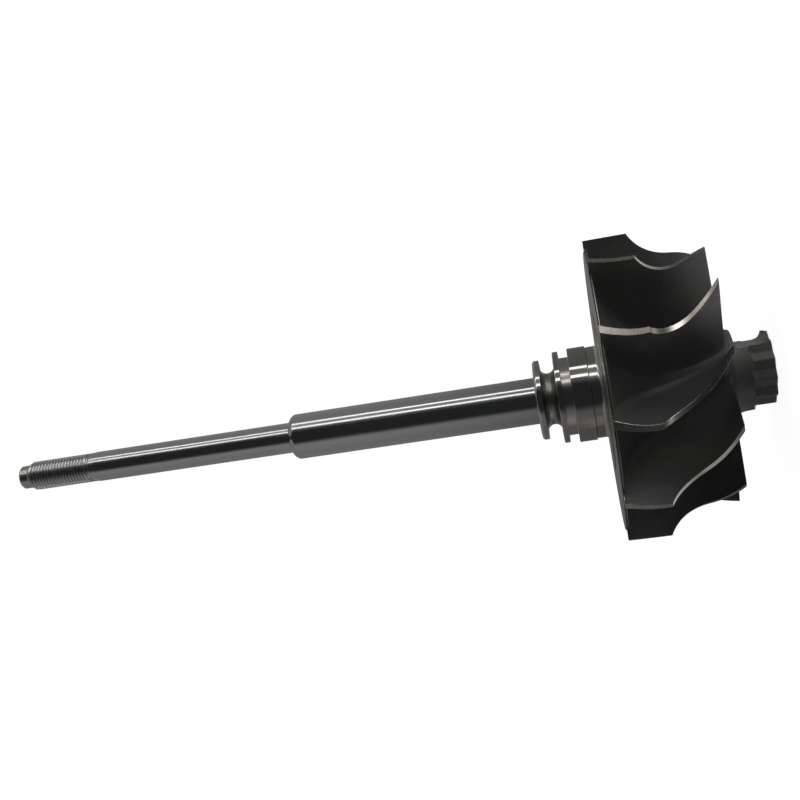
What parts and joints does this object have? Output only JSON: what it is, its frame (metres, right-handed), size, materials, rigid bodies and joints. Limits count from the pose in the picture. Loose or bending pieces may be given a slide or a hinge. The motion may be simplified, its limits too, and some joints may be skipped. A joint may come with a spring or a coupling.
{
  "type": "turbocharger turbine shaft and wheel",
  "caption": "Turbine wheel of a turbocharger welded to its ground shaft, with seal flanges, journal, compressor seat and threaded end.",
  "frame": {"origin": "centre of the nose's end face, on the axis of rotation", "axes": "+Z along the axis of rotation, from the wheel's nose to the shaft's threaded end; +X through the back edge of blade_01"},
  "size_m": [0.0919, 0.0926, 0.245],
  "materials": {
    "ground_steel": "ground and polished",
    "turned_steel": "fine turned",
    "cast_alloy": "matt investment casting"
  },
  "bodies": {
    "root": {"pilot_tip": "turned_steel", "threaded_end": "turned_steel", "shaft_body": "ground_steel", "seal_hub": "ground_steel", "weld_boss": "turned_steel", "back_disc": "cast_alloy", "hub_cone": "cast_alloy", "hub_neck": "cast_alloy", "nose_boss": "cast_alloy", "blade_01": "cast_alloy", "blade_02": "cast_alloy", "blade_03": "cast_alloy", "blade_04": "cast_alloy", "blade_05": "cast_alloy", "blade_06": "cast_alloy", "blade_07": "cast_alloy", "blade_08": "cast_alloy", "blade_09": "cast_alloy", "blade_10": "cast_alloy", "blade_11": "cast_alloy"}
  },
  "joints": []
}
